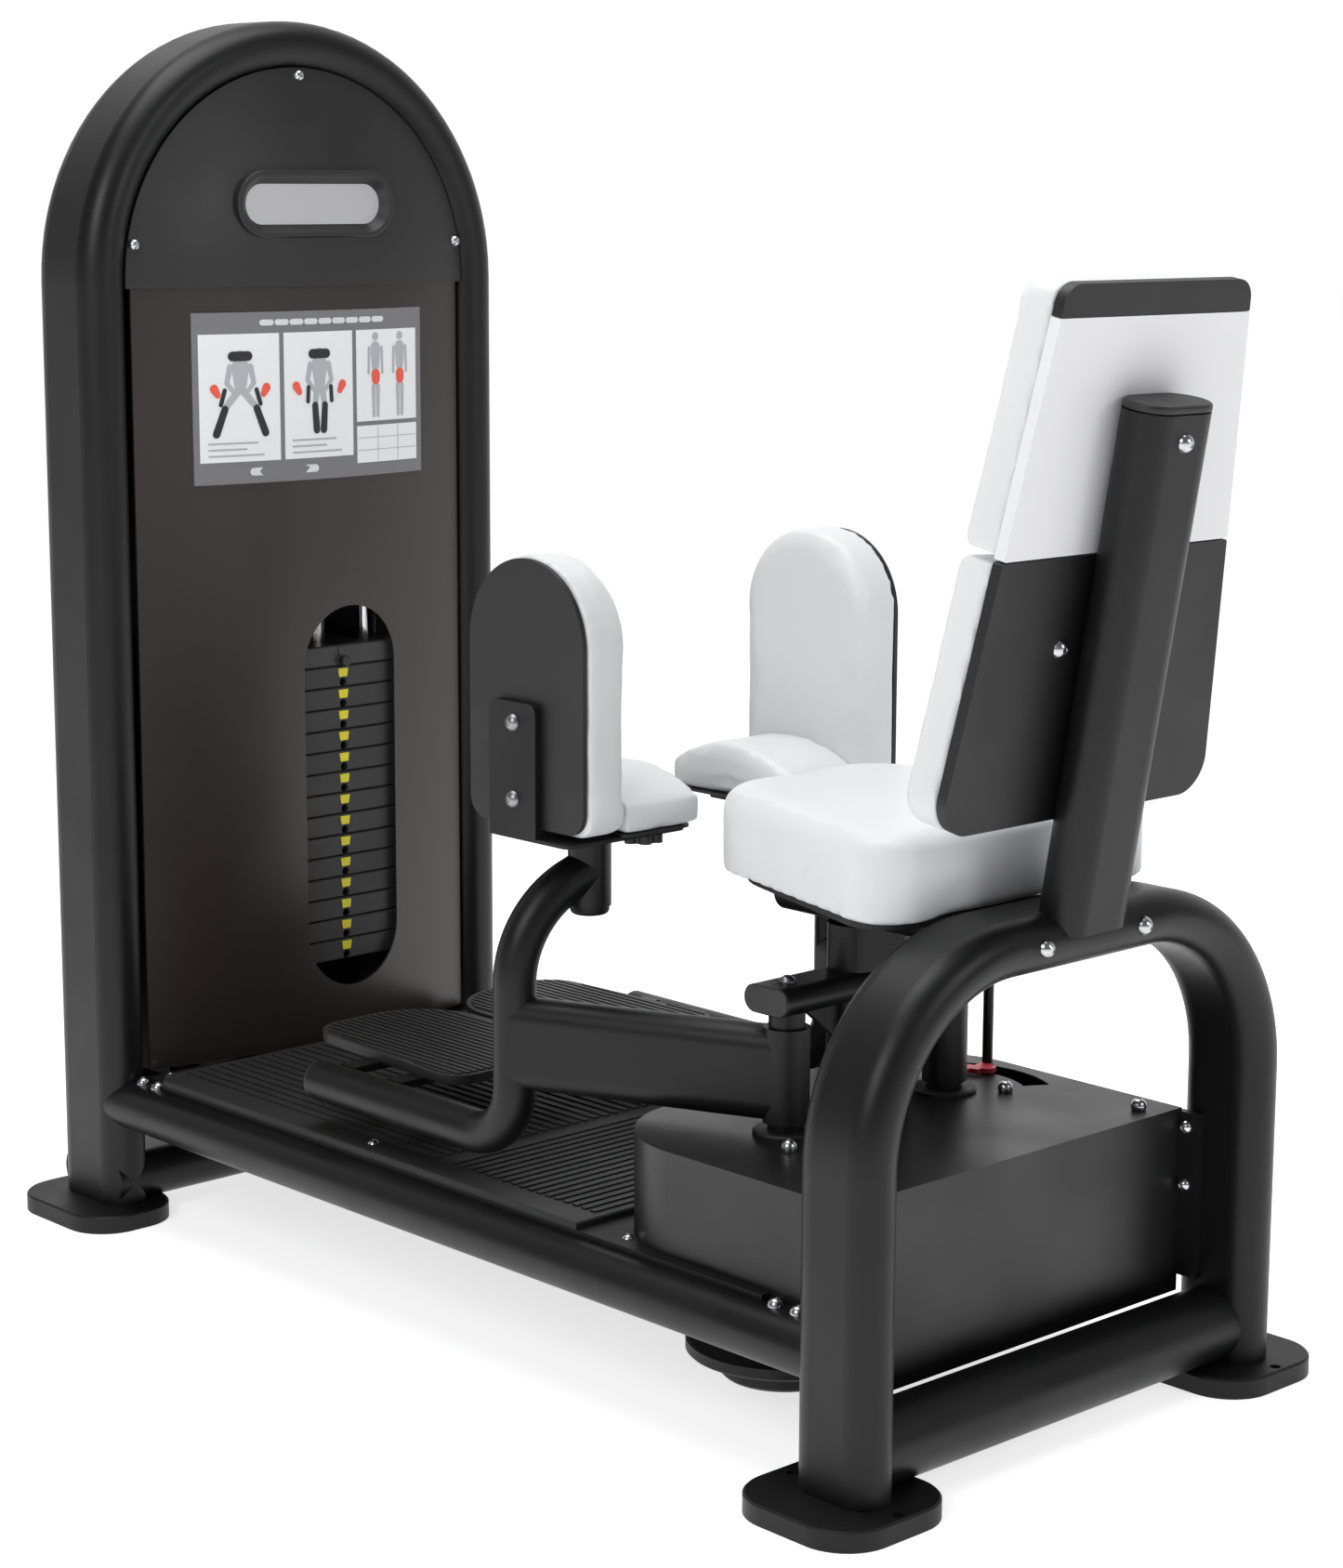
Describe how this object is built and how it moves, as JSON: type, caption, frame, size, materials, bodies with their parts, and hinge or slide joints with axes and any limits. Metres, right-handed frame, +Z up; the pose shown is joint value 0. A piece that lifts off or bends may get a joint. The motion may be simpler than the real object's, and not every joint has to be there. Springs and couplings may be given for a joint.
{
  "type": "hip abductor machine",
  "caption": "Seated hip abductor machine: weight tower with arch frame, padded seat and back on a rear arch, two coupled swinging arms with foot rests and thigh pads.",
  "frame": {"origin": "floor level, centred between the machine's outermost sides and ends", "axes": "+Z up, +Y from the seat towards the weight tower, +X to the right of a seated user"},
  "size_m": [0.704, 1.4352, 1.361],
  "materials": {
    "black_frame": "satin",
    "black_feet": "satin",
    "black_deck": "satin",
    "black_arm": "satin",
    "black_bracket": "satin",
    "lever_black": "satin",
    "mat_rubber": "matt",
    "hood_plastic": "satin",
    "badge_metal": "brushed",
    "smoked_panel": "gloss",
    "placard_print": "printed",
    "rear_panel": "satin",
    "stack_steel": "satin",
    "label_yellow": "printed",
    "top_plate_steel": "satin",
    "stem_steel": "brushed",
    "pin_steel": "satin",
    "rod_chrome": "polished",
    "bumper_rubber": "matt",
    "cable_black": "satin",
    "cable_drop_black": "satin",
    "pulley_plastic": "satin",
    "mount_steel": "satin",
    "vinyl_white": "satin",
    "seat_board_black": "matt",
    "trim_plastic": "satin",
    "shell_light": "satin",
    "housing_plastic": "satin",
    "bearing_black": "painted",
    "cap_plastic": "satin",
    "stud_steel": "plated",
    "handle_red": "gloss",
    "bolt_chrome": "plated",
    "screw_chrome": "plated",
    "gear_steel": "satin",
    "drum_alloy": "cast",
    "foot_rest_plastic": "matt",
    "board_plastic": "satin",
    "knob_plastic": "matt",
    "bolt_black": "plated"
  },
  "bodies": {
    "frame": {"tower_frame": "black_frame", "rear_frame": "black_frame", "base_rails": "black_frame", "foot_pads": "black_feet", "deck_plate": "black_deck", "deck_mat": "mat_rubber", "hood": "hood_plastic", "badge": "badge_metal", "shroud_front": "smoked_panel", "placard": "placard_print", "shroud_rear": "rear_panel", "weight_plates": "stack_steel", "plate_labels": "label_yellow", "guide_rods": "rod_chrome", "stack_bumpers": "bumper_rubber", "cable": "cable_black", "pulley_mounts": "mount_steel", "seat_pad": "vinyl_white", "seat_board": "seat_board_black", "seat_beam": "black_frame", "back_post": "black_frame", "back_plates": "trim_plastic", "back_shell": "shell_light", "back_pad_lower": "vinyl_white", "back_pad_upper": "vinyl_white", "housing_cover": "housing_plastic", "shaft_bearings": "bearing_black", "cross_bar": "black_frame", "tube_caps": "cap_plastic", "pivot_studs": "stud_steel", "frame_bolts": "bolt_chrome", "small_screws": "screw_chrome"},
    "arm_left": {"arm_left": "black_arm", "foot_rest_left": "foot_rest_plastic", "gear_left": "gear_steel", "cable_drum": "drum_alloy"},
    "arm_right": {"arm_right": "black_arm", "foot_rest_right": "foot_rest_plastic", "gear_right": "gear_steel"},
    "pad_left": {"thigh_pad_left": "vinyl_white", "saddle_pad_left": "vinyl_white", "pad_boards_left": "board_plastic", "pad_bracket_left": "black_bracket", "pad_bolts_left": "bolt_black"},
    "pad_right": {"thigh_pad_right": "vinyl_white", "saddle_pad_right": "vinyl_white", "pad_boards_right": "board_plastic", "pad_bracket_right": "black_bracket", "pad_bolts_right": "bolt_black"},
    "knob_left": {"pad_knob_left": "knob_plastic"},
    "knob_right": {"pad_knob_right": "knob_plastic"},
    "stack_head": {"top_plate": "top_plate_steel", "selector_stem": "stem_steel", "cable_drop": "cable_drop_black"},
    "selector_pin": {"selector_pin": "pin_steel"},
    "pulley_outer": {"top_pulley_outer": "pulley_plastic"},
    "pulley_inner": {"top_pulley_inner": "pulley_plastic"},
    "pulley_lower": {"lower_pulley": "pulley_plastic"},
    "range_adjuster": {"range_lever": "lever_black", "range_handle": "handle_red"}
  },
  "joints": [
    {"name": "arm_left_swing", "type": "hinge", "parent": "frame", "child": "arm_left", "pos_m": [-0.114, -0.3384, 0.3], "axis": [0, 0, 1], "range_deg": [0, 33]},
    {"name": "arm_right_swing", "type": "hinge", "parent": "frame", "child": "arm_right", "pos_m": [0.114, -0.3384, 0.3], "axis": [0, 0, 1], "range_deg": [-33, 0]},
    {"name": "stack_lift", "type": "slide", "parent": "frame", "child": "stack_head", "axis": [0, 0, 1], "range_m": [0, 0.0368], "deforming": ["cable_drop"]},
    {"name": "pulley_outer_spin", "type": "hinge", "parent": "frame", "child": "pulley_outer", "pos_m": [-0.129, 0.6176, 1.1], "axis": [0, 1, 0], "range_deg": [-43.81, 0.5]},
    {"name": "pulley_inner_spin", "type": "hinge", "parent": "frame", "child": "pulley_inner", "pos_m": [-0.006, 0.6176, 1.1], "axis": [0, 1, 0], "range_deg": [-43.81, 0.5]},
    {"name": "pulley_lower_spin", "type": "hinge", "parent": "frame", "child": "pulley_lower", "pos_m": [-0.177, 0.5806, 0.129], "axis": [1, 0, 0], "range_deg": [-56.69, 0.5]},
    {"name": "pad_left_turn", "type": "hinge", "parent": "arm_left", "child": "pad_left", "pos_m": [-0.145, -0.0864, 0.5], "axis": [0, 0, 1], "range_deg": [-180, 0]},
    {"name": "pad_right_turn", "type": "hinge", "parent": "arm_right", "child": "pad_right", "pos_m": [0.145, -0.0864, 0.5], "axis": [0, 0, 1], "range_deg": [0, 180]},
    {"name": "pad_left_knob", "type": "hinge", "parent": "pad_left", "child": "knob_left", "pos_m": [-0.112, -0.1284, 0.53], "axis": [0, 0, 1], "continuous": true},
    {"name": "pad_right_knob", "type": "hinge", "parent": "pad_right", "child": "knob_right", "pos_m": [0.112, -0.1284, 0.53], "axis": [0, 0, 1], "continuous": true},
    {"name": "selector_pin_pull", "type": "slide", "parent": "stack_head", "child": "selector_pin", "axis": [0, -1, 0], "range_m": [0, 0.012]},
    {"name": "range_adjust", "type": "hinge", "parent": "frame", "child": "range_adjuster", "pos_m": [0.114, -0.3384, 0.237], "axis": [0, 0, 1], "range_deg": [-36, 0]}
  ],
  "couplings": [
    {"joint": "arm_right_swing", "follows": "arm_left_swing", "ratio": -1},
    {"joint": "stack_lift", "follows": "arm_left_swing", "m_per_rad": 0.063},
    {"joint": "pulley_outer_spin", "follows": "arm_left_swing", "ratio": -1.3125},
    {"joint": "pulley_inner_spin", "follows": "arm_left_swing", "ratio": -1.3125},
    {"joint": "pulley_lower_spin", "follows": "arm_left_swing", "ratio": -1.7027}
  ]
}
